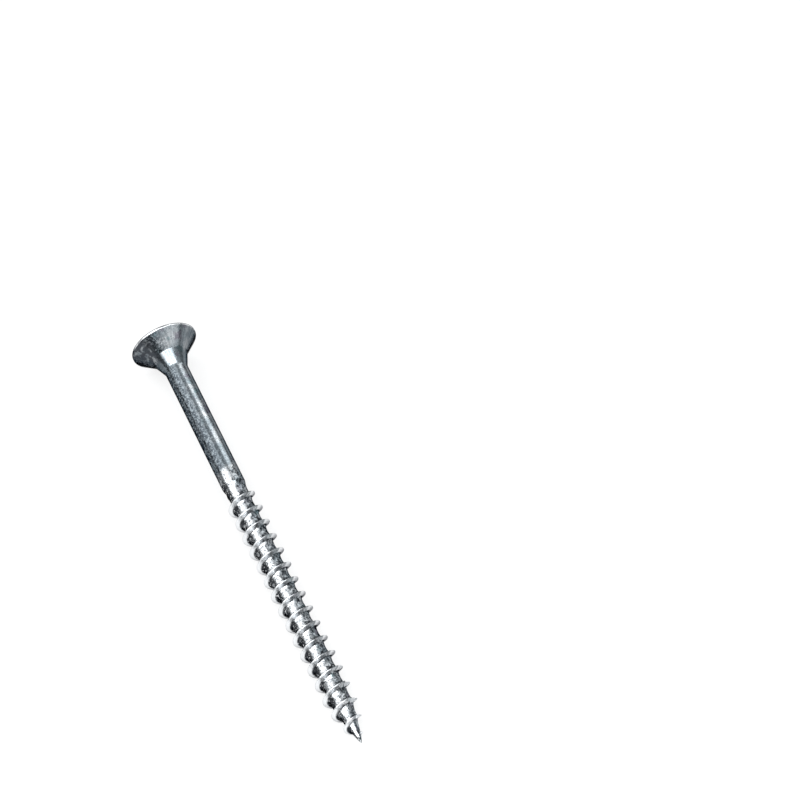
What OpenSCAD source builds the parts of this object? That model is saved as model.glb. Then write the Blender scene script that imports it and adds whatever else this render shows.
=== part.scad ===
// Chipboard screw, 5 x 70 mm, forged and thread-rolled from one length of steel wire.
// It is drawn standing on its head, with the point up along +Z, and is then laid down the way
// it comes to rest on a table: on the rim of its head and on the last full crest of its thread.
// Laid down, the point looks along +X and the table is the plane z = 0.

/* [Length] */
// Length from the flat of the head to the point
screw_l = 70; // [60:0.5:80]
// Length of the smooth part, from the flat of the head to the thread
plain_l = 27; // [20:0.5:34]

/* [Head] */
// Diameter of the head
head_d = 10; // [9:0.1:12]
// Height of the straight rim round the head
rim_h = 0.35; // [0.2:0.05:0.6]
// Width of the broken edge between the rim and the flat of the head
rim_edge = 0.1; // [0.04:0.02:0.16]
// Angle across the countersunk underside
sink_angle = 90; // [80:1:100]
// Diameter at which the underside passes into the steeper cone of the neck
neck_d = 5.4; // [5:0.1:6]
// Length of the neck, down to the shank
neck_l = 2.3; // [1.5:0.1:3.5]

/* [Drive recess] */
// Distance across the tips of two opposite lobes
lobe_span = 4.5; // [4.1:0.05:4.8]
// Distance across two opposite waists between the lobes
waist_span = 3.25; // [3:0.05:3.4]
// Radius of the tip of a lobe
lobe_r = 0.38; // [0.32:0.02:0.42]
// Depth of the lobed walls
recess_depth = 2.4; // [1.8:0.1:2.8]
// Angle across the hollow cone in the floor of the recess
floor_angle = 120; // [100:5:150]

/* [Shank] */
// Diameter of the smooth shank
shank_d = 3.5; // [3.4:0.05:4]
// Length of the short cone from the shank down to the core of the thread
step_l = 0.8; // [0.4:0.1:2]

/* [Thread] */
// Diameter over the crests: a screw sold as 5 mm measures 4.7 to 5 here
thread_d = 4.7; // [4.5:0.1:5.2]
// Diameter of the core between the turns
core_d = 3.1; // [2.8:0.05:3.3]
// Distance from one turn to the next
pitch = 2.5; // [1.8:0.1:3]
// Angle between the two flanks
flank_angle = 40; // [30:1:50]
// Width of the flat on the crest
crest_w = 0.16; // [0.08:0.02:0.3]
// Turns over which the thread rises out of the core at its start
rise_turns = 0.6; // [0.2:0.1:1.5]
// Flats in one turn
turn_steps = 40; // [32:4:48]

/* [Point] */
// Length of the tapered point
point_l = 6; // [4:0.25:8]
// Length over which the thread fades out towards the point
fade_l = 6.5; // [4:0.25:9]
// Length of the bare tip in front of the thread
tip_l = 0.5; // [0.3:0.1:1.5]

/* [Cutting notch] */
// Length of the notch, from the point to where it runs out
notch_l = 12; // [8:0.5:14]
// Angle between the two walls of the notch
notch_angle = 90; // [70:5:110]
// Distance from the axis to the root of the notch at the point
notch_root = 0.25; // [0.15:0.05:0.6]
// Direction in which the notch faces, turned from straight down towards +Y
notch_turn = 115; // [60:5:300]

/* [Finish] */
// Colour of the bright zinc plating
zinc = [0.72, 0.76, 0.79];

/* [Hidden] */

head_r = head_d / 2;
shank_r = shank_d / 2;
core_r = core_d / 2;
thread_r = thread_d / 2;

// Height at which the underside meets the neck
neck_r = neck_d / 2;
neck_z = rim_h + (head_r - neck_r) / tan(sink_angle / 2);

// Each lobe's tip meets the hollow flute beside it on the line between their two centres
lobes = 6;
lobe_c = lobe_span / 2 - lobe_r;
half_lobe = 180 / lobes;
flute_r = (pow(lobe_c, 2) + pow(waist_span / 2, 2) - lobe_c * waist_span * cos(half_lobe)
    - pow(lobe_r, 2)) / (2 * (lobe_r + lobe_c * cos(half_lobe)) - waist_span);
flute_c = waist_span / 2 + flute_r;
meet = atan2(flute_c * sin(half_lobe), flute_c * cos(half_lobe) - lobe_c);
arc_steps = 4;
// The cone in the floor starts this far inside the waists
floor_inset = 0.1;
floor_r = waist_span / 2 - floor_inset;
floor_deep = floor_r / tan(floor_angle / 2);

// The thread's flats are counted from the crest that the screw lies on
full_z = screw_l - tip_l - fade_l;
ridge_h = thread_r - core_r;
ridge_w = crest_w / 2 + ridge_h * tan(flank_angle / 2);
first_k = ceil((plain_l + ridge_w - full_z) / pitch * turn_steps);
last_k = floor(fade_l / pitch * turn_steps);
columns = last_k - first_k;
ridge_points = 4;
// Share of its full width that the fading thread keeps up to its end
narrow = 0.35;
// The point's radius grows with this power of the distance from the tip
point_power = 0.75;
// The rim's flats, and those of the round hollow in the recess
rim_steps = 96;
floor_steps = 48;
// The core starts inside the short cone, and this far within the edge of the cone's end
core_seat = 0.01;
no_cut = 2 * thread_d;

// The screw leans on the lower edge of its rim and on the front edge of one crest
lean_z = full_z + crest_w / 2;
tilt = atan((head_r - thread_r) / (lean_z - rim_h));
lift = head_r * cos(tilt) + rim_h * sin(tilt);
x_low = -(head_r - rim_edge) * sin(tilt);
x_high = screw_l * cos(tilt);

function ramp(x) = max(0, min(1, x));

// Radius of the bare core at height z, which tapers to nothing over the point and bulges there
function core_at(z) = core_r * pow(ramp((screw_l - z) / point_l), point_power);

// Distance of the notch's root from the axis: it leaves the core in a curve, like a milled run-out
function root_at(z) = notch_root + (thread_r - notch_root) * pow(ramp((screw_l - z) / notch_l), 3);

// Turn between a direction and the middle of the notch, from 0 to 180
function from_notch(a) = abs((a - notch_turn) - 360 * round((a - notch_turn) / 360));

// Radius left by the notch's two flat walls in one direction at height z
function notch_at(a, z) =
    let (aside = notch_angle / 2 - from_notch(a))
    aside <= 0 || z < screw_l - notch_l ? no_cut : root_at(z) * sin(notch_angle / 2) / sin(aside);

function thread_point(k, z, r) =
    let (a = 360 * k / turn_steps, cut_r = min(r, notch_at(a, z)))
    [cut_r * cos(a), cut_r * sin(a), z];

// Height of the thread in column k, as a share of the full one: it keeps high over most of the
// point and drops at its end, like a quarter of an ellipse
function fade_at(k) = sqrt(1 - pow(1 - ramp((last_k - k) / last_k), 2));

// The four corners of the ridge in column k: foot, two edges of the crest, foot
function ridge(k) =
    let (
        z = full_z + pitch * k / turn_steps,
        fade = fade_at(k),
        rise = ramp((k - first_k) / (rise_turns * turn_steps)),
        h = ridge_h * min(fade, rise),
        width = max(narrow, fade),
        foot = ridge_w * width,
        crest = crest_w / 2 * width
    )
    [
        thread_point(k, z - foot, core_at(z - foot)),
        thread_point(k, z - crest, core_at(z - crest) + h),
        thread_point(k, z + crest, core_at(z + crest) + h),
        thread_point(k, z + foot, core_at(z + foot))
    ];

// Corner numbers: the start ring comes first, then the columns, then the tip
function ring_no(i) = i % turn_steps;
function ridge_no(i, j) = turn_steps + ridge_points * i + j;
tip_no = ridge_no(columns + 1, 0);

// A band between two columns, and a fan between one corner and a row of corners
function band(a, b, c, d) = [[a, b, c], [a, c, d]];
function fan_up(corner, row) = [for (m = [0 : len(row) - 2]) [corner, row[m + 1], row[m]]];
function fan_down(corner, row) = [for (m = [0 : len(row) - 2]) [row[m], row[m + 1], corner]];

// Threaded core and point: ridge and core strips wind up side by side, one turn joining the next
module thread() {
    ring_z = plain_l - step_l / 2;
    last_column = columns - turn_steps;
    corners = concat(
        [for (i = [0 : turn_steps - 1]) thread_point(first_k + i, ring_z, core_r)],
        [for (k = [first_k : last_k]) each ridge(k)],
        [[0, 0, screw_l]]
    );
    start_row = concat(
        [ring_no(0)],
        [for (j = [0 : ridge_points - 1]) ridge_no(0, j)],
        [ridge_no(turn_steps, 0)]
    );
    end_row = concat(
        [ridge_no(last_column, 3)],
        [for (j = [0 : ridge_points - 1]) ridge_no(columns, j)],
        [tip_no]
    );
    sides = concat(
        [[for (i = [0 : turn_steps - 1]) ring_no(i)]],
        [for (i = [0 : turn_steps - 2])
            each band(ring_no(i), ridge_no(i, 0), ridge_no(i + 1, 0), ring_no(i + 1))],
        [[ring_no(turn_steps - 1), ridge_no(turn_steps - 1, 0), ring_no(0)]],
        fan_up(ridge_no(turn_steps - 1, 0), start_row),
        [for (i = [0 : columns - 1], j = [0 : ridge_points - 2])
            each band(ridge_no(i, j), ridge_no(i, j + 1), ridge_no(i + 1, j + 1), ridge_no(i + 1, j))],
        [for (i = [0 : last_column - 1])
            each band(ridge_no(i, 3), ridge_no(i + turn_steps, 0),
                ridge_no(i + 1 + turn_steps, 0), ridge_no(i + 1, 3))],
        fan_down(ridge_no(last_column + 1, 3), end_row),
        [for (i = [last_column + 1 : columns - 1]) [ridge_no(i, 3), tip_no, ridge_no(i + 1, 3)]]
    );
    polyhedron(points = corners, faces = sides);
}

// Turned outline of head, neck, shank and short cone, as radius and height
module blank() {
    rotate_extrude($fn = rim_steps)
        polygon([
            [0, 0], [head_r - rim_edge, 0], [head_r, rim_edge], [head_r, rim_h],
            [neck_r, neck_z], [shank_r, neck_z + neck_l],
            [shank_r, plain_l - step_l], [core_r + core_seat, plain_l], [0, plain_l]
        ]);
}

// Six-lobed outline of the recess: outward arcs at the lobes, inward arcs at the waists
module lobed_outline() {
    polygon([for (i = [0 : lobes - 1]) each concat(
        [for (m = [-arc_steps : arc_steps])
            let (a = meet * m / arc_steps)
            turned([lobe_c + lobe_r * cos(a), lobe_r * sin(a)], 2 * half_lobe * i)],
        [for (m = [-arc_steps + 1 : arc_steps - 1])
            let (a = 180 + (meet - half_lobe) * -m / arc_steps)
            turned([flute_c + flute_r * cos(a), flute_r * sin(a)], 2 * half_lobe * i + half_lobe)]
    )]);
}

function turned(p, a) = [p[0] * cos(a) - p[1] * sin(a), p[0] * sin(a) + p[1] * cos(a)];

module recess() {
    over = 1;
    translate([0, 0, -over]) linear_extrude(recess_depth + over) lobed_outline();
    rotate_extrude($fn = floor_steps)
        polygon([[0, 0], [floor_r, 0], [floor_r, recess_depth], [0, recess_depth + floor_deep]]);
}

module laid_down() {
    translate([-(x_low + x_high) / 2, 0, lift]) rotate([0, 90 + tilt, 0]) children();
}

module screw() {
    color(zinc) laid_down() {
        difference() {
            blank();
            recess();
        }
        thread();
    }
}

screw();
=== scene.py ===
"""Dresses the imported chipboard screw: fine thread and edges, bright zinc plating, table and light."""

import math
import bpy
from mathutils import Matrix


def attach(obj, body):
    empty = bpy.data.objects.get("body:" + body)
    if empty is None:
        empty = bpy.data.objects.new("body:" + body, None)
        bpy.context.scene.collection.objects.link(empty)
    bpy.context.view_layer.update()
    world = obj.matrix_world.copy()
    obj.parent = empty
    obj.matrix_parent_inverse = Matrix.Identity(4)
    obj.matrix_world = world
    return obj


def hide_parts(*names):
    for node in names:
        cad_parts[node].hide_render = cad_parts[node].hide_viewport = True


bl_info = {
    "name": "Chipboard Screw",
    "version": (1, 0, 0),
    "blender": (4, 5, 0),
    "location": "View3D > Sidebar > Screw",
    "description": "Zinc-plated chipboard screw lying on a pale table, with its light and camera",
    "category": "Add Mesh",
}

from types import SimpleNamespace

import bpy
import numpy as np
from bpy.props import FloatProperty, FloatVectorProperty, IntProperty, PointerProperty
from mathutils import Vector

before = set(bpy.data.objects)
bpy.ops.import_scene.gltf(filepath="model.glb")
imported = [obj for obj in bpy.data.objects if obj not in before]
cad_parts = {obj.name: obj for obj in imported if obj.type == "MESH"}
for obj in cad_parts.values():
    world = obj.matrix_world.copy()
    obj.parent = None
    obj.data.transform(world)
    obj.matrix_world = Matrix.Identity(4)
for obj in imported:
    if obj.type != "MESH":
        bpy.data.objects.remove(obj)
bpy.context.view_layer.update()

MM = 0.001
NODE = "screw"
BODY = "root"

# Points of the mesh that lie closer together than this are one point
WELD = 1e-8
# Faces that meet at more than this angle keep a sharp edge
SHARP_ANGLE = math.radians(28)
# Steps of the mesh in one turn round the axis
AROUND = 160

# How far, in millimetres, each corner of the blank's profile is cut back for a rounding curve
ROUNDING = {
    "floor_cone": 0.02,
    "floor": 0.03,
    "mouth": 0.07,
    "rim": 0.05,
    "neck": 0.16,
    "shank": 0.22,
    "step": 0.12,
}
# Points on the curve at each corner
CURVE_POINTS = 5
# Shares of each straight stretch where points stand: those near its ends keep the shading even
STRETCH_SHARES = np.array([0.01, 0.06, 0.25, 0.5, 0.75, 0.94, 0.99])

# Places across a flank where the thread has points: 0 is its foot and 1 the edge of the crest
FLANK_STATIONS = np.array([1.2, 1.1, 1.0, 0.9, 0.8, 0.3, 0.1, -0.1, -0.3])
# Shares of the way from the last of them to the middle between two turns
CORE_STATIONS = np.array([0.33, 0.66, 1.0])
# Shares of a flank over which the ridge is rounded at its foot and at the edge of its crest
FOOT_SOFT = 0.3
CREST_SOFT = 0.2
# Two waves of wear on the crest: how often each comes in a turn, and the second one's shift
WEAR_WAVES = (5.3, 2.7)
WEAR_SHIFT = 1
# Rounding of the edges that the walls of the notch cut
NOTCH_SOFT = 0.03 * MM
# A wall of the notch never ends in its own direction, so directions closer to it than this use the
# distance to the wall at this turn
WALL_CLOSEST = math.radians(1)

# Fades of the plating. A fade reads one value: while that goes from the first number to the second,
# the fade goes smoothly from 0 to 1, or from the third number to the fourth.
FADES = {
    # Read from how far a point faces the side of painted shade: 1 on that side, -1 on the far one
    "shade_side": (-0.60, 0.25),
    "cone_shade_side": (0.22, 0.50),
    "cone_shade_weaker": (0.99, 0.88, 0.65, 1.0),
    "facet": (0.45, 0.35),
    "rim_highlight_side": (0.85, 0.6),
    "coarse_side": (-0.60, 0.25, 0.3, 1.0),
    "pitted_side": (-0.05, -0.3),
    "far_shade": (-0.60, -0.85, 0.0, 0.42),
    "crest_lit_side": (-0.35, 0.05),
    "crest_lit_back": (-0.75, -0.9),
    "crest_unlit_height": (0.45, 0.75, 0.1, 0.24),
    # The same, moved to and fro by the crystals
    "thread_shade_side": (0.76, 1.04),
    # Read from how far a point faces the side where the thread gets a painted highlight
    "lamp_side_highlight": (0.58, 0.88),
    "shade_off_lamp_side": (0.0, 0.4, 0.35, 1.0),
    # Read from the distance to the flat of the head, in millimetres
    "off_flat": (0.0, 0.01),
    "off_face": (0.02, 0.3),
    "shade_off_face": (0.0, 0.3, 0.35, 1.0),
    "edge_end": (0.19, 0.15),
    "rim_start": (0.16, 0.21),
    # Read from the height on the ridge: 0 on the core, 1 on an unworn crest
    "over_foot": (0.0, 0.04),
    "near_foot": (0.25, 0.1),
    "thread_shade_height": (0.46, 0.28),
    # The same, above the height below which the crest gets no painted highlight
    "over_crest_unlit": (0.0, 0.25),
    # Read from another fade
    "crest_lit_least": (0.0, 1.0, 0.2, 1.0),
    # Read from noise
    "blue": (0.36, 0.64),
    "teal": (0.60, 0.72, 0.0, 0.8),
    "violet": (0.42, 0.30, 0.0, 0.75),
    "cone_shade_tone": (0.66, 0.50, 0.2, 0.95),
    "soft_mottle": (0.68, 0.43),
    "hard_mottle": (0.55, 0.42, 0.0, 0.88),
    "streaks": (0.56, 0.36, 0.0, 0.4),
    "lamp_side_specks": (0.60, 0.52, 0.0, 0.95),
    "thread_shade_dull": (0.40, 0.54, 0.95, 0.5),
    "thread_shade_dark": (0.62, 0.50, 0.0, 0.9),
    "thread_shade_glints": (0.59, 0.65, 0.0, 0.8),
    "pits": (0.54, 0.62, 0.0, 0.8),
    "foot_breaks": (0.48, 0.55, 0.0, 0.92),
    "dull_specks": (0.60, 0.68, 0.0, 0.8),
}
# Lowest and highest level of the crystals' noise, at which the plating is smoothest and roughest
CRYSTAL_SPREAD = (0.35, 0.65)
# Specks are this many times finer than crystals
SPECK_FINENESS = 1.3
# Fineness of the streaks' noise in the two directions round the screw and in the one along it
STREAK_STRETCH = (1.0, 1.0, 0.04)
# The rolled look sets in raggedly: the clouds bring it nearer to the head by up to this many
# millimetres, and it fades in between these two distances past its start
ROLLED_RAGGED = 4.0
ROLLED_FADE = (1.2, 2.8)
# How far the crystals move the edge of the thread's painted shade
SIDE_RAGGED = 0.9
# Millimetres over which a look fades at the neck's ends, under the rim, past the neck and in the thread
NECK_FADE = 0.1
RIM_FADE = 0.04
CONE_SHADE_FADE = 1.0
THREAD_FADE = 1.0
# Strength of the grey film that paints shade on one side of the shank
SHADE_FILM_STRENGTH = 0.9
# Shares that are missing: of the mottle on the neck's facet, of the mottle in the painted shade on the
# head's cone, and of the grain's height on the facet
FACET_MOTTLE = 0.9
CONE_SHADE_MOTTLE = 0.6
FACET_GRAIN = 0.8
# Height of the streaks under the head, in grain depths
STREAK_HEIGHT = 0.36

# Places of the lamps round the screw, with angles in degrees, and distances and sizes in metres
LAMPS = {
    "window": dict(azimuth=-36, elevation=66, distance=0.30, width=0.45, height=0.17, spin=35),
    "side": dict(azimuth=-134, elevation=42, distance=0.36, width=0.20, height=0.35, spin=26),
    "strip": dict(azimuth=124, elevation=37, distance=0.35, width=0.08, height=0.25, spin=-35),
    "fill": dict(azimuth=16, elevation=26, distance=0.40, width=0.60, height=0.24, spin=0),
}
# The room's light grows with this power of the height of the direction that it comes from
ROOM_POWER = 2.0
WHITE = (1.0, 1.0, 1.0)
# The camera's azimuth is counted from -Y towards +X, and other azimuths from +X towards +Y
CAMERA_ZERO = -90
# Width of the camera's sensor in millimetres, and the nearest thing that it sees
SENSOR_WIDTH = 36.0
NEAREST_SEEN = 1 * MM


def length(name, description, default_mm):
    """A size in metres, given here in millimetres."""
    return FloatProperty(
        name=name,
        description=description,
        default=default_mm * MM,
        min=0,
        precision=5,
        unit="LENGTH",
    )


def turn(name, description, default_degrees):
    """An angle in radians, given here in degrees."""
    return FloatProperty(
        name=name, description=description, default=math.radians(default_degrees), subtype="ANGLE"
    )


def share(name, description, default, highest=1.0):
    """A plain number between 0 and its highest value."""
    return FloatProperty(name=name, description=description, default=default, min=0, max=highest)


def colour(name, description, default):
    """A colour in linear light."""
    return FloatVectorProperty(
        name=name, description=description, default=default, size=3, min=0, max=1, subtype="COLOR"
    )


class HeadSizes(bpy.types.PropertyGroup):
    """Sizes of the countersunk head, its neck and its drive recess."""

    head_d: length("Head diameter", "Diameter over the rim of the head", 10)
    rim_h: length("Rim height", "Height of the straight rim", 0.35)
    rim_edge: length("Rim edge", "Width of the broken edge between rim and face", 0.1)
    sink_angle: turn("Countersink", "Angle across the countersunk underside", 90)
    neck_d: length("Neck diameter", "Diameter where the underside meets the neck cone", 5.4)
    neck_l: length("Neck length", "Length of the steeper cone that leads into the shank", 2.3)
    lobe_span: length("Lobe span", "Distance across the tips of two opposite lobes", 4.5)
    waist_span: length("Waist span", "Distance across two opposite waists", 3.25)
    lobe_r: length("Lobe radius", "Radius of the tip of a lobe", 0.38)
    recess_depth: length("Recess depth", "Depth of the lobed walls", 2.4)
    floor_angle: turn("Floor cone", "Angle across the hollow cone in the floor of the recess", 120)
    floor_inset: length("Floor inset", "Ledge between the waists and the cone in the floor", 0.1)
    lobes: IntProperty(name="Lobes", description="Number of lobes of the recess", default=6, min=3)


class ThreadSizes(bpy.types.PropertyGroup):
    """Sizes of the shank, the thread, the point and the cutting notch."""

    screw_l: length("Length", "Length from the flat of the head to the point", 70)
    plain_l: length("Plain length", "Length from the flat of the head to the thread", 27)
    shank_d: length("Shank diameter", "Diameter of the smooth shank", 3.5)
    step_l: length("Step", "Length of the short cone from shank to core", 0.8)
    thread_d: length("Thread diameter", "Diameter over the crests", 4.7)
    core_d: length("Core diameter", "Diameter of the core between the turns", 3.1)
    pitch: length("Pitch", "Distance from one turn to the next", 2.5)
    flank_angle: turn("Flank angle", "Angle between the two flanks", 40)
    crest_w: length("Crest width", "Width of the flat on the crest", 0.16)
    rise_turns: share("Rise", "Turns over which the thread rises at its start", 0.6, 4)
    point_l: length("Point length", "Length of the tapered point", 6)
    point_power: share("Point power", "Power with which the radius grows behind the tip", 0.75)
    fade_l: length("Fade length", "Length over which the thread runs out at the point", 6.5)
    tip_l: length("Bare tip", "Length of the tip in front of the thread", 0.5)
    narrow: share("Narrowest", "Share of its width that the thread keeps to its end", 0.35)
    notch_l: length("Notch length", "Length of the cutting notch", 12)
    notch_angle: turn("Notch angle", "Angle between the two walls of the notch", 90)
    notch_root: length("Notch root", "Distance from the axis to the notch's root at the point", 0.25)
    notch_turn: turn("Notch direction", "Where the notch faces, from straight down towards +Y", 115)
    root_hollow: length("Root hollow", "How far the core sinks halfway between two turns", 0.12)
    crest_wear: length("Crest wear", "How far the crest dips unevenly below full height", 0.035)


class ZincFinish(bpy.types.PropertyGroup):
    """Colours and grain of the zinc plating, with the colours of its painted shade and highlights."""

    bright: colour("Bright", "Open, bright parts of the plating", (0.48, 0.505, 0.52))
    blue: colour("Blue", "Bluish film on the plating", (0.28, 0.32, 0.345))
    teal: colour("Teal", "Greenish film in a few patches", (0.20, 0.28, 0.30))
    # The clean colour paints the highlights on the crests, on the rim and on the thread's lit side, and
    # the glints in its painted shade
    clean: colour("Clean", "Rubbed parts of the thread, and the head's rim", (0.90, 0.915, 0.93))
    violet: colour("Violet", "Violet film in a few patches", (0.20, 0.185, 0.225))
    # The film colour paints shade on one side of the shank
    film: colour("Film", "Grey film on the dull side of the shank", (0.25, 0.29, 0.315))
    # The dull colour also paints shade: in the mottle on one side of the shank, on its far side, on the
    # thread's shaded side and at the broken edge of the face
    dull: colour("Dull", "Dull mottle, streaks and specks", (0.056, 0.066, 0.077))
    # This colour paints shade on one side of the head's cone
    cone_shade_tone: colour("Stain", "Dark film on one side of the head", (0.045, 0.047, 0.055))
    # This colour paints shade at the foot of the ridge and on the thread's shaded side, and darkens
    # pits in the dents
    grime_and_shade: colour("Grime", "Dirt in the thread, at its foot and in dents", (0.018, 0.02, 0.024))
    edge_tint: colour("Edge tint", "Tint of the metal seen at a grazing angle", (0.0, 0.0, 0.01))
    polish: share("Roughness of bright parts", "Roughness where the plating is bright", 0.14)
    matt: share("Roughness of dull parts", "Roughness where the plating is dull", 0.32)
    rolled_matt: share("Roughness of the thread", "Roughness where the thread was rolled", 0.30)
    grain: length("Grain", "Size of the crystals in the plating", 0.29)
    grain_depth: length("Grain depth", "Height of the crystals in the plating", 0.009)
    dents: share("Dents", "Depth of the dents in the rolled part, in grain depths", 7.0, 50)
    rolled_from: length("Rolled part", "Distance from the head to the start of the rolled look", 24.5)
    # The painted shade on the shank, the head's cone and the thread lies on the side that faces this
    # way
    shade_turn: turn("Dull side", "Where the duller side faces, from straight down towards +Y", -74)
    # The painted highlight on the thread's lit side faces this way
    highlight_turn: turn("Clean side", "Where the side faces on which the thread is rubbed clean", -140)


class StageLook(bpy.types.PropertyGroup):
    """Table, light and camera."""

    table: colour("Table", "Colour of the table", (0.93, 0.93, 0.93))
    table_size: FloatProperty(
        name="Table size", description="Width of the table", default=8, unit="LENGTH"
    )
    window: share("Window", "Brightness of the large soft light", 4.0, 50)
    side: share("Side", "Brightness of the soft light on the near side", 1.75, 50)
    strip: share("Strip", "Brightness of the narrow light", 2.2, 50)
    fill: share("Fill", "Brightness of the light beyond the point", 1.0, 50)
    room_tint: colour("Room tint", "Tint of the room's light", (0.93, 0.97, 1.0))
    sky_low: share("Room, low", "Brightness of the room at the height of the table", 0.30, 10)
    sky_high: share("Room, high", "Brightness of the room overhead", 0.78, 10)
    glow: share("Table glow", "Share of the table's white that its shadows don't reach", 0.72)
    view_azimuth: turn("Camera azimuth", "Where the camera looks from, from -Y towards +X", 65.04)
    view_elevation: turn("Camera elevation", "Height angle that the camera looks from", 56.31)
    view_distance: length("Camera distance", "Distance from the camera to its target", 400)
    target_x: length("Target X", "Distance from the origin to the camera's target along -X", 14.34)
    target_y: length("Target Y", "Distance from the origin to the camera's target along +Y", 28.7)
    lens_mm: share("Lens", "Focal length in millimetres on a sensor 36 mm wide", 122.5, 500)


def soft_rise(x, soft):
    """0 well below 0 and x well above it, joined by a parabola within soft of 0."""
    return np.where(x < soft, np.clip(x + soft, 0, None) ** 2 / (4 * soft), x)


def soft_ramp(x, soft_low, soft_high):
    """Rises from 0 to 1 while x does, with the corner at each end rounded over its own length."""
    return soft_rise(x, soft_low) - soft_rise(x - 1, soft_high)


def lesser(a, b, soft):
    """The lesser of a and b, with the crease between them rounded by a hyperbola."""
    return (a + b - np.sqrt((a - b) ** 2 + soft**2)) / 2


def lobed_radius(head, angle):
    """Polar form of the recess: the far side of a lobe's circle, or beyond the point where the two
    circles touch, the near side of the hollow circle at the waist."""
    half = math.pi / head.lobes
    lobe_c = head.lobe_span / 2 - head.lobe_r
    waist = head.waist_span / 2
    hollow_r = (lobe_c**2 + waist**2 - 2 * lobe_c * waist * math.cos(half) - head.lobe_r**2) / (
        2 * (head.lobe_r + lobe_c * math.cos(half) - waist)
    )
    hollow_c = waist + hollow_r
    meet = math.atan2(hollow_c * math.sin(half), hollow_c * math.cos(half) - lobe_c)
    touch = math.atan2(head.lobe_r * math.sin(meet), lobe_c + head.lobe_r * math.cos(meet))
    aside = np.abs((angle + half) % (2 * half) - half)
    off_waist = half - aside
    on_lobe = lobe_c * np.cos(aside) + np.sqrt(
        np.clip(head.lobe_r**2 - (lobe_c * np.sin(aside)) ** 2, 0, None)
    )
    at_waist = hollow_c * np.cos(off_waist) - np.sqrt(
        np.clip(hollow_r**2 - (hollow_c * np.sin(off_waist)) ** 2, 0, None)
    )
    return np.where(aside < touch, on_lobe, at_waist)


def rounded_path(corners, cuts):
    """A path through the corners. Each corner is cut back by its own length and replaced by a
    quadratic curve, and each straight stretch gets points at fixed shares of its length."""
    before = np.diff(corners, axis=0, prepend=corners[:1])
    after = np.diff(corners, axis=0, append=corners[-1:])
    back = -before / np.maximum(np.linalg.norm(before, axis=1, keepdims=True), WELD)
    ahead = after / np.maximum(np.linalg.norm(after, axis=1, keepdims=True), WELD)
    start = (corners + back * cuts[:, None])[:, None]
    end = (corners + ahead * cuts[:, None])[:, None]
    s = np.linspace(0, 1, CURVE_POINTS)[None, :, None]
    curves = (1 - s) ** 2 * start + 2 * s * (1 - s) * corners[:, None] + s**2 * end
    f = STRETCH_SHARES[None, :, None]
    stretches = curves[:-1, -1:] * (1 - f) + curves[1:, :1] * f
    legs = np.concatenate([curves[:-1], stretches], axis=1).reshape(-1, corners.shape[1])
    return np.concatenate([legs, curves[-1]])


def neck_height(head):
    """Distance from the flat of the head to the edge where its underside meets the neck."""
    return head.rim_h + (head.head_d - head.neck_d) / 2 / math.tan(head.sink_angle / 2)


def blank_grid(head, thread, around):
    """Head, recess, neck and shank, as rings carried along a profile that starts on the axis in the
    floor of the recess, climbs its lobed wall, crosses the face and runs down the outside to the
    thread. A ring's radius is its plain part plus its lobed part times the recess's polar form. Gives
    the angle, radius, height, distance along the profile and height on the ridge at each point."""
    angle = 2 * math.pi * np.arange(around + 1) / around
    lobed = lobed_radius(head, angle)
    mean = lobed[:-1].mean()
    head_r, shank_r, core_r = head.head_d / 2, thread.shank_d / 2, thread.core_d / 2
    floor_r = head.waist_span / 2 - head.floor_inset
    floor_deep = floor_r / math.tan(head.floor_angle / 2)
    neck_z = neck_height(head)
    # Plain radius, lobed radius, height and rounding of each corner
    profile = np.array(
        [
            (0, 0, head.recess_depth + floor_deep, 0),
            (floor_r, 0, head.recess_depth, ROUNDING["floor_cone"]),
            (0, mean, head.recess_depth, ROUNDING["floor"]),
            (0, mean, 0, ROUNDING["mouth"]),
            (head_r - head.rim_edge, 0, 0, ROUNDING["rim"]),
            (head_r, 0, head.rim_edge, ROUNDING["rim"]),
            (head_r, 0, head.rim_h, ROUNDING["rim"]),
            (head.neck_d / 2, 0, neck_z, ROUNDING["neck"]),
            (shank_r, 0, neck_z + head.neck_l, ROUNDING["shank"]),
            (shank_r, 0, thread.plain_l - thread.step_l, ROUNDING["step"]),
            (core_r, 0, thread.plain_l, 0),
        ]
    )
    path = rounded_path(profile[:, :-1], profile[:, -1] * MM)
    plain, wavy, z = path.T[:, :, None]
    radius = plain + wavy / mean * lobed[None]
    steps = np.linalg.norm(np.diff(path, axis=0, prepend=path[:1]), axis=1)
    along = np.cumsum(steps)[:, None]
    return np.broadcast_arrays(angle[None], radius, z, along, 0.0)


def ridge_foot(thread):
    """Half the width of the full ridge at its foot: half the crest plus the run of one flank."""
    height = (thread.thread_d - thread.core_d) / 2
    return thread.crest_w / 2 + height * math.tan(thread.flank_angle / 2)


def ridge_stations(thread, width):
    """Distances from the middle of the ridge across one pitch, for each column of the helical band.
    They are close together at the crest's edges and the feet, which move in with the width."""
    foot = ridge_foot(thread) * width
    crest = thread.crest_w / 2 * width
    on_ridge = foot[:, None] - FLANK_STATIONS[None] * (foot - crest)[:, None]
    edge = on_ridge[:, -1:]
    on_core = edge + CORE_STATIONS[None] * (thread.pitch / 2 - edge)
    right = np.concatenate([on_ridge, on_core], axis=1)
    return np.concatenate([-right[:, ::-1], 0 * edge, right], axis=1)


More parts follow.
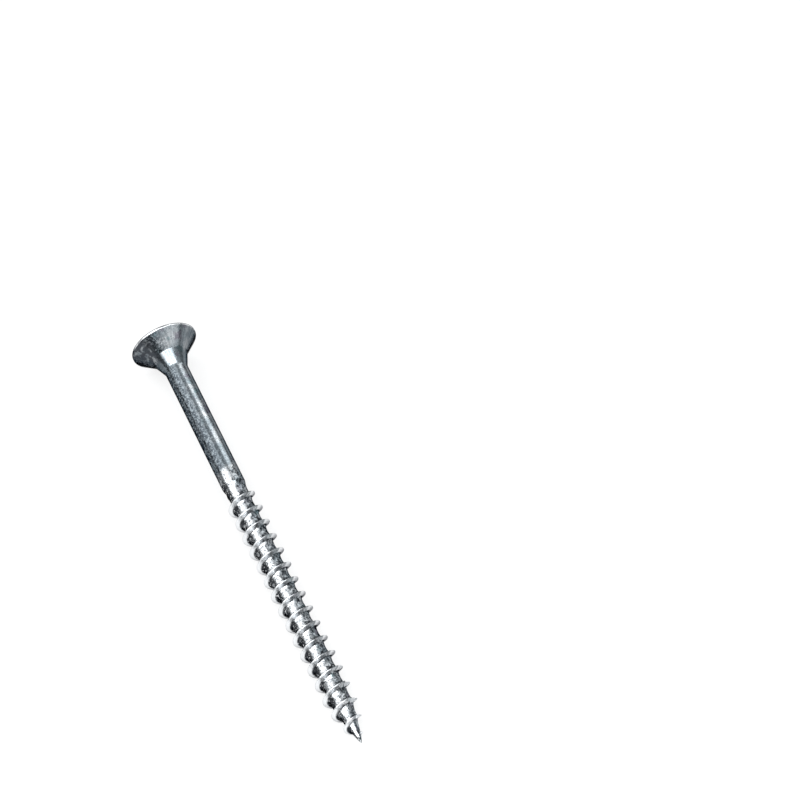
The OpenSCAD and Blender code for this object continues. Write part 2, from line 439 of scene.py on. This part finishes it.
def thread_grid(thread, around):
    """Thread, core and point as one helical band: the first parameter winds round the axis, one
    column for each step, and the second crosses one pitch, so each turn's far edge is the next
    turn's near edge. The radius is the core's, which tapers to the point with a power of the
    distance from the tip, less a parabola that hollows the root between two turns, plus a rounded
    trapezoid on the middle of the band. The trapezoid rises evenly at the start, fades at the point
    like a quarter of an ellipse, and is worn down by two waves. The notch's walls cut it off. Gives
    the same five values as the blank."""
    core_r, ridge_h = thread.core_d / 2, (thread.thread_d - thread.core_d) / 2
    full_z = thread.screw_l - thread.tip_l - thread.fade_l
    # The band reaches half a pitch to each side, so it winds half a turn past both of its ends
    first = math.floor(((thread.plain_l - full_z) / thread.pitch - 0.5) * around)
    last = math.ceil(((thread.screw_l - full_z) / thread.pitch + 0.5) * around)
    turns = np.arange(first, last + 1) / around
    fade = np.clip(1 - thread.pitch * turns / thread.fade_l, 0, 1)
    fade = np.sqrt(1 - (1 - fade) ** 2)
    rise_from = (thread.plain_l + ridge_foot(thread) - full_z) / thread.pitch
    rise = np.clip((turns - rise_from) / thread.rise_turns, 0, 1)
    width = np.maximum(fade, thread.narrow)
    across = ridge_stations(thread, width)
    angle = 2 * math.pi * turns[:, None]
    z = np.clip(full_z + thread.pitch * turns[:, None] + across, thread.plain_l, thread.screw_l)
    foot, crest = ridge_foot(thread) * width, thread.crest_w / 2 * width
    aside = np.abs(across)
    climb = soft_ramp((foot[:, None] - aside) / (foot - crest)[:, None], FOOT_SOFT, CREST_SOFT)
    to_middle = np.clip((aside - foot[:, None]) / (thread.pitch / 2 - foot[:, None]), 0, 1)
    from_start = np.clip((z - thread.plain_l) / thread.pitch, 0, 1)
    taper = np.clip((thread.screw_l - z) / thread.point_l, 0, 1) ** thread.point_power
    hollow = thread.root_hollow * to_middle * (2 - to_middle) * from_start * taper
    first_wave = np.sin(WEAR_WAVES[0] * angle)
    second_wave = np.sin(WEAR_WAVES[1] * angle + WEAR_SHIFT)
    wear = thread.crest_wear * (2 + first_wave + second_wave) / 4
    height = (ridge_h * np.minimum(fade, rise))[:, None] * climb
    height = height * (1 - wear / ridge_h)
    bare = core_r * taper - hollow + height
    radius = np.where(z <= thread.plain_l, core_r, notched(thread, angle, z, bare))
    radius = np.where(z >= thread.screw_l, 0, radius)
    return np.broadcast_arrays(angle, radius, z, z - thread.plain_l, height / ridge_h)


def notched(thread, angle, z, radius):
    """Cuts the radius off at the notch's two flat walls, which meet in its root. The root leaves the
    screw in a cubic curve, as a milled run-out does."""
    uncut = 2 * thread.thread_d
    run = np.clip((thread.screw_l - z) / thread.notch_l, 0, 1)
    root = thread.notch_root + (thread.thread_d / 2 - thread.notch_root) * run**3
    off = np.abs((angle - thread.notch_turn + math.pi) % (2 * math.pi) - math.pi)
    inside = thread.notch_angle / 2 - off
    open_wall = np.sin(np.clip(inside, WALL_CLOSEST, None))
    wall = np.where(inside > 0, root * math.sin(thread.notch_angle / 2) / open_wall, uncut)
    wall = np.where(run < 1, wall, uncut)
    return np.maximum(lesser(radius, wall, NOTCH_SOFT), 0)


def lay_down(head, thread, x, y, z):
    """Turns the upright screw so that it lies on the rim's lower edge and on its last full crest,
    with its point along +X, and puts the middle of its length over the origin. The tilt's tangent
    is the step between the two radii that it lies on over the distance between them."""
    head_r, thread_r = head.head_d / 2, thread.thread_d / 2
    lean_z = thread.screw_l - thread.tip_l - thread.fade_l + thread.crest_w / 2
    tilt = math.atan((head_r - thread_r) / (lean_z - head.rim_h))
    lift = head_r * math.cos(tilt) + head.rim_h * math.sin(tilt)
    low = -(head_r - head.rim_edge) * math.sin(tilt)
    high = thread.screw_l * math.cos(tilt)
    return np.stack(
        [
            z * math.cos(tilt) - x * math.sin(tilt) - (low + high) / 2,
            y,
            -z * math.sin(tilt) - x * math.cos(tilt) + lift,
        ],
        axis=-1,
    )


def grid_triangles(rows, columns, offset):
    """Two triangles for each cell of a grid, as corner numbers that start at the offset."""
    corner = offset + np.arange(rows * columns).reshape(rows, columns)
    a, b, c, d = corner[:-1, :-1], corner[1:, :-1], corner[1:, 1:], corner[:-1, 1:]
    return np.stack([a, b, c, a, c, d], axis=-1).reshape(-1, 3)


def build_mesh(name, head, thread, around):
    """Joins the blank and the thread into one closed surface: points that coincide become one, faces
    that have shrunk to a line are left out, and what the material needs is kept on the points."""
    # The blank's first parameter runs round it, as the band's does, so its grid is turned over
    blank = [values.T for values in blank_grid(head, thread, around)]
    band = thread_grid(thread, around)
    blank_points = blank[0].size
    triangles = np.concatenate(
        [
            grid_triangles(*blank[0].shape, 0),
            grid_triangles(*band[0].shape, blank_points),
        ]
    )
    angle, radius, z, along, ridge = (
        np.concatenate([a.ravel(), b.ravel()]) for a, b in zip(blank, band)
    )
    # The distance along the surface goes on from the blank's end into the band
    along[blank_points:] += along[:blank_points].max()
    points = lay_down(head, thread, radius * np.cos(angle), radius * np.sin(angle), z)
    _, kept, same = np.unique(
        np.round(points / WELD).astype(np.int64), axis=0, return_index=True, return_inverse=True
    )
    faces = same.ravel()[triangles]
    whole = (
        (faces[:, 0] != faces[:, 1]) & (faces[:, 1] != faces[:, 2]) & (faces[:, 2] != faces[:, 0])
    )
    faces, corners = faces[whole], triangles[whole]
    mesh = bpy.data.meshes.new(name)
    mesh.from_pydata(points[kept], [], faces)
    girth = thread.shank_d / 2
    skin = np.stack([girth * np.cos(angle), girth * np.sin(angle), along], axis=-1)[kept] / MM
    mesh.attributes.new("skin", "FLOAT_VECTOR", "POINT").data.foreach_set(
        "vector", skin.astype(np.float32).ravel()
    )
    for attribute, values in (("ridge", ridge), ("axial", z / MM)):
        mesh.attributes.new(attribute, "FLOAT", "POINT").data.foreach_set(
            "value", values[kept].astype(np.float32)
        )
    unrolled = np.stack([angle * girth, along], axis=-1)[corners.ravel()] / thread.screw_l
    mesh.uv_layers.new(name="Unrolled").uv.foreach_set(
        "vector", unrolled.astype(np.float32).ravel()
    )
    mesh.shade_smooth()
    mesh.set_sharp_from_angle(angle=SHARP_ANGLE)
    mesh.validate()
    return mesh


class Nodes:
    """Clears the nodes of a material or world and makes its new ones. Each method after the first
    gives one or all of the outputs of what it makes."""

    def __init__(self, owner):
        owner.use_nodes = True
        self.tree = owner.node_tree
        self.tree.nodes.clear()

    def add(self, kind, settings=None, **inputs):
        """A node with its settings, and its inputs set to values or joined to other outputs. An input
        goes by its name, or by i and its number."""
        made = self.tree.nodes.new(kind)
        for name, value in (settings or {}).items():
            setattr(made, name, value)
        for name, value in inputs.items():
            numbered = name[0] == "i" and name[1:].isdigit()
            socket = made.inputs[int(name[1:]) if numbered else name]
            if isinstance(value, bpy.types.NodeSocket):
                self.tree.links.new(value, socket)
            elif socket.type == "RGBA":
                socket.default_value = (*value, 1.0)
            else:
                socket.default_value = value
        return made.outputs

    def attribute(self, name, output):
        """What the mesh keeps on its points under this name."""
        return self.add("ShaderNodeAttribute", {"attribute_name": name})[output]

    def noise(self, source, per_mm, detail, roughness, shift, stretch=(1 / MM,) * 3):
        """Noise with this many features in a millimetre. The stretch turns a source in metres into
        millimetres, and the shift keeps one noise clear of the others."""
        moved = self.add(
            "ShaderNodeMapping", Vector=source, Scale=stretch, Location=(shift,) * 3
        )["Vector"]
        return self.add(
            "ShaderNodeTexNoise", Vector=moved, Scale=per_mm, Detail=detail, Roughness=roughness
        )["Fac"]

    def between(self, value, low, high, to_low=0.0, to_high=1.0):
        """Goes smoothly from to_low to to_high while the value goes from low to high."""
        ends = {"From Min": low, "From Max": high, "To Min": to_low, "To Max": to_high}
        settings = {"interpolation_type": "SMOOTHSTEP"}
        return self.add("ShaderNodeMapRange", settings, Value=value, **ends)["Result"]

    def fade(self, value, name):
        """The fade of this name, read from the value."""
        return self.between(value, *FADES[name])

    def calc(self, operation, *values):
        """A sum, product or other operation on plain numbers."""
        inputs = {f"i{number}": value for number, value in enumerate(values)}
        return self.add("ShaderNodeMath", {"operation": operation}, **inputs)[0]

    def both(self, *values):
        """The product of the values, so of several masks the place where all of them hold."""
        made = values[0]
        for value in values[1:]:
            made = self.calc("MULTIPLY", made, value)
        return made

    def less(self, mask, taken):
        """1, less this share of the mask."""
        return self.calc("MULTIPLY_ADD", mask, -taken, 1.0)

    def mixed(self, factor, first, second):
        """The first colour where the factor is 0 and the second where it is 1."""
        # Inputs 6 and 7 and output 2 of this node are the ones for colours
        return self.add("ShaderNodeMix", {"data_type": "RGBA"}, i0=factor, i6=first, i7=second)[2]

    def facing(self, skin, direction, girth):
        """1 where the surface faces this direction round the axis, and -1 on the far side: the dot
        product of the direction with the place on the unrolled skin."""
        unit = (math.cos(direction) / girth, math.sin(direction) / girth, 0.0)
        return self.add("ShaderNodeVectorMath", {"operation": "DOT_PRODUCT"}, i0=skin, i1=unit)["Value"]


def plating_noise(nodes, skin, finish):
    """Noise in the plating: crystals and finer specks, soft patches and clouds, breaks and dents, and
    streaks drawn out along the screw's skin."""
    spot = nodes.add("ShaderNodeTexCoord")["Object"]
    fine = MM / finish.grain
    return SimpleNamespace(
        crystals=nodes.noise(spot, per_mm=fine, detail=1.5, roughness=0.6, shift=0.0),
        specks=nodes.noise(spot, per_mm=fine * SPECK_FINENESS, detail=2.0, roughness=0.7, shift=7.0),
        patches=nodes.noise(spot, per_mm=0.45, detail=2.0, roughness=0.55, shift=3.0),
        clouds=nodes.noise(spot, per_mm=0.7, detail=1.5, roughness=0.5, shift=11.0),
        breaks=nodes.noise(spot, per_mm=1.1, detail=2.0, roughness=0.6, shift=17.0),
        dents=nodes.noise(spot, per_mm=1.5, detail=2.0, roughness=0.5, shift=23.0),
        streaks=nodes.noise(
            skin, per_mm=7.0, detail=2.0, roughness=0.6, shift=5.0, stretch=STREAK_STRETCH
        ),
    )


def plating_places(nodes, skin, noise, finish, head, thread):
    """How far a point faces the side of painted shade, as aside, and masks for the places of the
    plating's looks, painted shade and painted highlights among them, round the axis, along it, and on
    the ridge."""
    both, between, fade = nodes.both, nodes.between, nodes.fade
    ridge = nodes.attribute("ridge", "Fac")
    place = nodes.attribute("axial", "Fac")
    girth = thread.shank_d / 2 / MM
    aside = nodes.facing(skin, finish.shade_turn, girth)
    near_side = nodes.facing(skin, finish.highlight_turn, girth)
    rim_h, plain_l, rolled_from = head.rim_h / MM, thread.plain_l / MM, finish.rolled_from / MM
    neck_z, neck_end = neck_height(head) / MM, (neck_height(head) + head.neck_l) / MM

    shade_side = both(
        fade(aside, "shade_side"), fade(near_side, "shade_off_lamp_side"), fade(place, "shade_off_face")
    )
    ragged = nodes.calc("MULTIPLY_ADD", noise.clouds, ROLLED_RAGGED, place)
    rolled = between(ragged, rolled_from + ROLLED_FADE[0], rolled_from + ROLLED_FADE[1])
    on_shank = nodes.calc("SUBTRACT", 1.0, rolled)
    on_neck = both(
        between(place, neck_z - NECK_FADE, neck_z), between(place, neck_end + NECK_FADE, neck_end)
    )
    ragged_side = nodes.calc("MULTIPLY_ADD", noise.crystals, SIDE_RAGGED, aside)
    over_crest_unlit = nodes.calc("SUBTRACT", ridge, fade(aside, "crest_unlit_height"))
    crest_lit_side = nodes.calc("MAXIMUM", fade(aside, "crest_lit_side"), fade(aside, "crest_lit_back"))
    return SimpleNamespace(
        aside=aside,
        shade_side=shade_side,
        rolled=rolled,
        on_shank=on_shank,
        # Painted highlight on the thread's lit side
        lamp_side_highlight=both(rolled, fade(near_side, "lamp_side_highlight")),
        # Painted shade on the far side of the shank
        far_shade=both(on_shank, fade(aside, "far_shade")),
        shade_film=both(shade_side, on_shank, between(place, neck_z, neck_end, 0.0, SHADE_FILM_STRENGTH)),
        under_head=both(between(place, neck_end, neck_z), fade(place, "off_face")),
        # Painted shade on one side of the head's cone
        cone_shade=both(
            between(place, neck_end + CONE_SHADE_FADE, neck_z),
            fade(place, "off_face"),
            fade(aside, "cone_shade_side"),
            fade(aside, "cone_shade_weaker"),
        ),
        facet=both(on_neck, fade(aside, "facet")),
        # Painted highlight on the rim, left out on the side of painted shade
        rim_highlight=both(
            between(place, rim_h + RIM_FADE, rim_h),
            fade(place, "rim_start"),
            fade(aside, "rim_highlight_side"),
        ),
        # Painted shade: a dark line at the broken edge of the face and at the mouth of the recess
        edge_shade=both(fade(place, "edge_end"), fade(place, "off_flat")),
        # Painted shade on one side of the thread, below the crest
        thread_shade=both(
            rolled, fade(ragged_side, "thread_shade_side"), fade(ridge, "thread_shade_height")
        ),
        pitted_side=both(rolled, fade(aside, "pitted_side")),
        # Painted shade at the foot of the ridge
        foot_shade=both(fade(ridge, "over_foot"), fade(ridge, "near_foot")),
        # Painted highlight on the crests, on the sides where they are lit
        painted_highlight=both(
            between(place, plain_l, plain_l + THREAD_FADE),
            fade(over_crest_unlit, "over_crest_unlit"),
            fade(crest_lit_side, "crest_lit_least"),
        ),
    )


def plating_colour(nodes, noise, at, finish):
    """Base colour of the plating: one film, painted shade or painted highlight over another, each as
    strong as its own mask."""
    both, fade = nodes.both, nodes.fade
    # The soft mottle lies only on the side of painted shade, where it is random tone and painted shade
    soft_mottle = both(fade(noise.crystals, "soft_mottle"), at.shade_side, at.on_shank)
    hard_mottle = both(fade(noise.crystals, "hard_mottle"), at.rolled)
    mottled = both(
        nodes.calc("MAXIMUM", soft_mottle, hard_mottle),
        nodes.less(at.facet, FACET_MOTTLE),
        nodes.less(at.cone_shade, CONE_SHADE_MOTTLE),
    )
    layers = (
        (fade(noise.clouds, "teal"), finish.teal),
        (fade(noise.clouds, "violet"), finish.violet),
        # Painted shade on one side of the head's cone, broken up by noise
        (both(at.cone_shade, fade(noise.breaks, "cone_shade_tone")), finish.cone_shade_tone),
        (at.shade_film, finish.film),
        (mottled, finish.dull),
        (both(at.under_head, fade(noise.streaks, "streaks")), finish.dull),
        # Painted highlight on the thread's lit side, broken by specks
        (both(at.lamp_side_highlight, fade(noise.specks, "lamp_side_specks")), finish.clean),
        # Painted shade on one side of the thread, below the crest, with a few painted glints
        (both(at.thread_shade, fade(noise.specks, "thread_shade_dull")), finish.dull),
        (both(at.thread_shade, fade(noise.breaks, "thread_shade_dark")), finish.grime_and_shade),
        (both(at.thread_shade, fade(noise.crystals, "thread_shade_glints")), finish.clean),
        (both(at.pitted_side, fade(noise.dents, "pits")), finish.grime_and_shade),
        # Painted shade in broken lines at the foot of the ridge
        (both(at.foot_shade, fade(noise.breaks, "foot_breaks")), finish.grime_and_shade),
        (fade(noise.specks, "dull_specks"), finish.dull),
        # Painted shade on the far side of the shank
        (at.far_shade, finish.dull),
        # The painted highlights on the crests and the rim come last but for the painted shade at the
        # broken edge of the face
        (nodes.calc("MAXIMUM", at.painted_highlight, at.rim_highlight), finish.clean),
        # Painted shade at the broken edge of the face
        (at.edge_shade, finish.dull),
    )
    base = nodes.mixed(fade(noise.patches, "blue"), finish.bright, finish.blue)
    for mask, tone in layers:
        base = nodes.mixed(mask, base, tone)
    return base


def plating_grain(nodes, noise, at, finish):
    """Roughness and normal of the plating. The relief is the crystals, flatter on the bright side and
    on the neck's facet, plus the streaks under the head, plus the dents of the rolled part."""
    rough = nodes.between(noise.crystals, *CRYSTAL_SPREAD, finish.polish, finish.matt)
    rough = nodes.add(
        "ShaderNodeMix", {"data_type": "FLOAT"}, Factor=at.rolled, A=rough, B=finish.rolled_matt
    )["Result"]
    relief = nodes.both(
        noise.crystals, nodes.fade(at.aside, "coarse_side"), nodes.less(at.facet, FACET_GRAIN)
    )
    streaks = nodes.both(noise.streaks, at.under_head)
    relief = nodes.calc("MULTIPLY_ADD", streaks, STREAK_HEIGHT, relief)
    dents = nodes.both(noise.dents, at.rolled)
    relief = nodes.calc("MULTIPLY_ADD", dents, finish.dents, relief)
    normal = nodes.add(
        "ShaderNodeBump", Strength=1.0, Distance=finish.grain_depth, Height=relief
    )["Normal"]
    return rough, normal


def zinc_material(finish, head, thread):
    """Bright zinc plating: a crystalline grain that tilts the mirror, coloured film in soft patches,
    painted shade on one side of the shank as a grey film and a soft mottle and on one side of the
    head's cone, fine streaks down the cone of the head, painted highlights on the rim and on the
    crests and lit side of the satin thread, and painted shade on another side of the thread and at
    the foot of its ridge, with a dark line of painted shade at the broken edge of the face."""
    material = bpy.data.materials.new("bright_zinc")
    nodes = Nodes(material)
    skin = nodes.attribute("skin", "Vector")
    noise = plating_noise(nodes, skin, finish)
    at = plating_places(nodes, skin, noise, finish, head, thread)
    base = plating_colour(nodes, noise, at, finish)
    rough, normal = plating_grain(nodes, noise, at, finish)
    tints = {"Base Color": base, "Specular Tint": finish.edge_tint}
    shader = nodes.add(
        "ShaderNodeBsdfPrincipled", Metallic=1.0, Roughness=rough, Normal=normal, **tints
    )
    nodes.add("ShaderNodeOutputMaterial", Surface=shader["BSDF"])
    return material


def table_material(look):
    """A matt pale table. To the camera, and in the metal, part of it glows in plain white, so that
    its shadows stay soft."""
    material = bpy.data.materials.new("pale_table")
    nodes = Nodes(material)
    matt = nodes.add("ShaderNodeBsdfDiffuse", Color=look.table)[0]
    white = nodes.add("ShaderNodeEmission", Color=WHITE, Strength=1.0)[0]
    ray = nodes.add("ShaderNodeLightPath")
    seen = ray["Is Camera Ray"]
    for other in ("Is Glossy Ray", "Is Transmission Ray"):
        seen = nodes.calc("MAXIMUM", seen, ray[other])
    glow = nodes.calc("MULTIPLY", seen, look.glow)
    surface = nodes.add("ShaderNodeMixShader", i0=glow, i1=matt, i2=white)[0]
    nodes.add("ShaderNodeOutputMaterial", Surface=surface)
    return material


def towards(azimuth, elevation):
    """Unit vector at these angles, in degrees: azimuth from +X towards +Y, elevation from the table."""
    a, e = math.radians(azimuth), math.radians(elevation)
    return Vector((math.cos(a) * math.cos(e), math.sin(a) * math.cos(e), math.sin(e)))


def add_soft_light(name, radiance, azimuth, elevation, distance, width, height, spin):
    """A rectangular lamp that faces the screw's middle, spun round its own axis. Its power is set so
    that its face has the given radiance: a lamp of power P and area A shines with P / (pi * A)."""
    lamp = bpy.data.lights.new(name, "AREA")
    lamp.shape = "RECTANGLE"
    lamp.size, lamp.size_y = width, height
    lamp.energy = radiance * math.pi * width * height
    made = bpy.data.objects.new(name, lamp)
    direction = towards(azimuth, elevation)
    made.location = direction * distance
    made.rotation_euler = direction.to_track_quat("Z", "Y").to_euler()
    made.rotation_euler.rotate_axis("Z", math.radians(spin))
    made.visible_camera = False
    bpy.context.scene.collection.objects.link(made)


def add_room(look):
    """The room round the table. Its light grows from the level of the table to straight overhead,
    with a power of the height of the direction."""
    world = bpy.data.worlds.new("soft_room")
    nodes = Nodes(world)
    direction = nodes.add("ShaderNodeTexCoord")["Generated"]
    height = nodes.add("ShaderNodeSeparateXYZ", Vector=direction)["Z"]
    settings = {"operation": "POWER", "use_clamp": True}
    curve = nodes.add("ShaderNodeMath", settings, i0=height, i1=ROOM_POWER)[0]
    ends = {"To Min": look.sky_low, "To Max": look.sky_high}
    level = nodes.add("ShaderNodeMapRange", Value=curve, **ends)[0]
    light = nodes.add("ShaderNodeBackground", Color=look.room_tint, Strength=level)[0]
    nodes.add("ShaderNodeOutputWorld", Surface=light)
    bpy.context.scene.world = world


def add_camera(look):
    """A camera at the viewing angle, which looks at a point on the table beside the screw."""
    camera = bpy.data.cameras.new("camera")
    camera.lens = look.lens_mm
    camera.sensor_width = SENSOR_WIDTH
    camera.clip_start = NEAREST_SEEN
    made = bpy.data.objects.new("camera", camera)
    azimuth = math.degrees(look.view_azimuth) + CAMERA_ZERO
    direction = towards(azimuth, math.degrees(look.view_elevation))
    made.location = Vector((-look.target_x, look.target_y, 0)) + direction * look.view_distance
    made.rotation_euler = direction.to_track_quat("Z", "Y").to_euler()
    bpy.context.scene.collection.objects.link(made)
    bpy.context.scene.camera = made


class SCREW_OT_body(bpy.types.Operator):
    """Build the zinc-plated screw in place of the plain solid"""

    bl_idname = "screw.body"
    bl_label = "Screw"
    bl_options = {"REGISTER", "UNDO"}

    def execute(self, context):
        scene = context.scene
        mesh = build_mesh("zinc_screw", scene.screw_head, scene.screw_thread, AROUND)
        mesh.materials.append(zinc_material(scene.screw_zinc, scene.screw_head, scene.screw_thread))
        piece = bpy.data.objects.new("zinc_screw", mesh)
        scene.collection.objects.link(piece)
        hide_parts(NODE)
        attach(piece, BODY)
        return {"FINISHED"}


class SCREW_OT_stage(bpy.types.Operator):
    """Build the table, the light and the camera"""

    bl_idname = "screw.stage"
    bl_label = "Table and light"
    bl_options = {"REGISTER", "UNDO"}

    def execute(self, context):
        look = context.scene.screw_stage
        half = look.table_size / 2
        mesh = bpy.data.meshes.new("table")
        corners = half * np.array([(-1, -1, 0), (1, -1, 0), (1, 1, 0), (-1, 1, 0)])
        mesh.from_pydata(corners, [], [(0, 1, 2, 3)])
        mesh.materials.append(table_material(look))
        table = bpy.data.objects.new("table", mesh)
        context.scene.collection.objects.link(table)
        for name, place in LAMPS.items():
            add_soft_light(name, radiance=getattr(look, name), **place)
        add_room(look)
        add_camera(look)
        context.scene.view_settings.view_transform = "Standard"
        return {"FINISHED"}


class SCREW_PT_panel(bpy.types.Panel):
    """Lists the pieces and their settings"""

    bl_idname = "SCREW_PT_panel"
    bl_label = "Chipboard Screw"
    bl_space_type = "VIEW_3D"
    bl_region_type = "UI"
    bl_category = "Screw"

    def draw(self, context):
        for operator, groups in PANEL_ROWS:
            self.layout.operator(operator)
            for group in groups:
                settings = getattr(context.scene, group)
                column = self.layout.column(align=True)
                for name in settings.__annotations__:
                    column.prop(settings, name)


# Each button of the panel, with the groups of settings that stand under it
PANEL_ROWS = (
    ("screw.body", ("screw_head", "screw_thread", "screw_zinc")),
    ("screw.stage", ("screw_stage",)),
)
GROUPS = {
    "screw_head": HeadSizes,
    "screw_thread": ThreadSizes,
    "screw_zinc": ZincFinish,
    "screw_stage": StageLook,
}
CLASSES = (*GROUPS.values(), SCREW_OT_body, SCREW_OT_stage, SCREW_PT_panel)


def register():
    """Registers the classes and gives each group of settings its place in the scene."""
    for item in CLASSES:
        bpy.utils.register_class(item)
    for name, group in GROUPS.items():
        setattr(bpy.types.Scene, name, PointerProperty(type=group))


def unregister():
    """Takes back what register did, in the opposite order."""
    for name in GROUPS:
        delattr(bpy.types.Scene, name)
    for item in reversed(CLASSES):
        bpy.utils.unregister_class(item)


def main():
    """Registers the classes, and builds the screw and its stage."""
    register()
    bpy.ops.screw.body()
    bpy.ops.screw.stage()


if __name__ == "__main__":
    main()
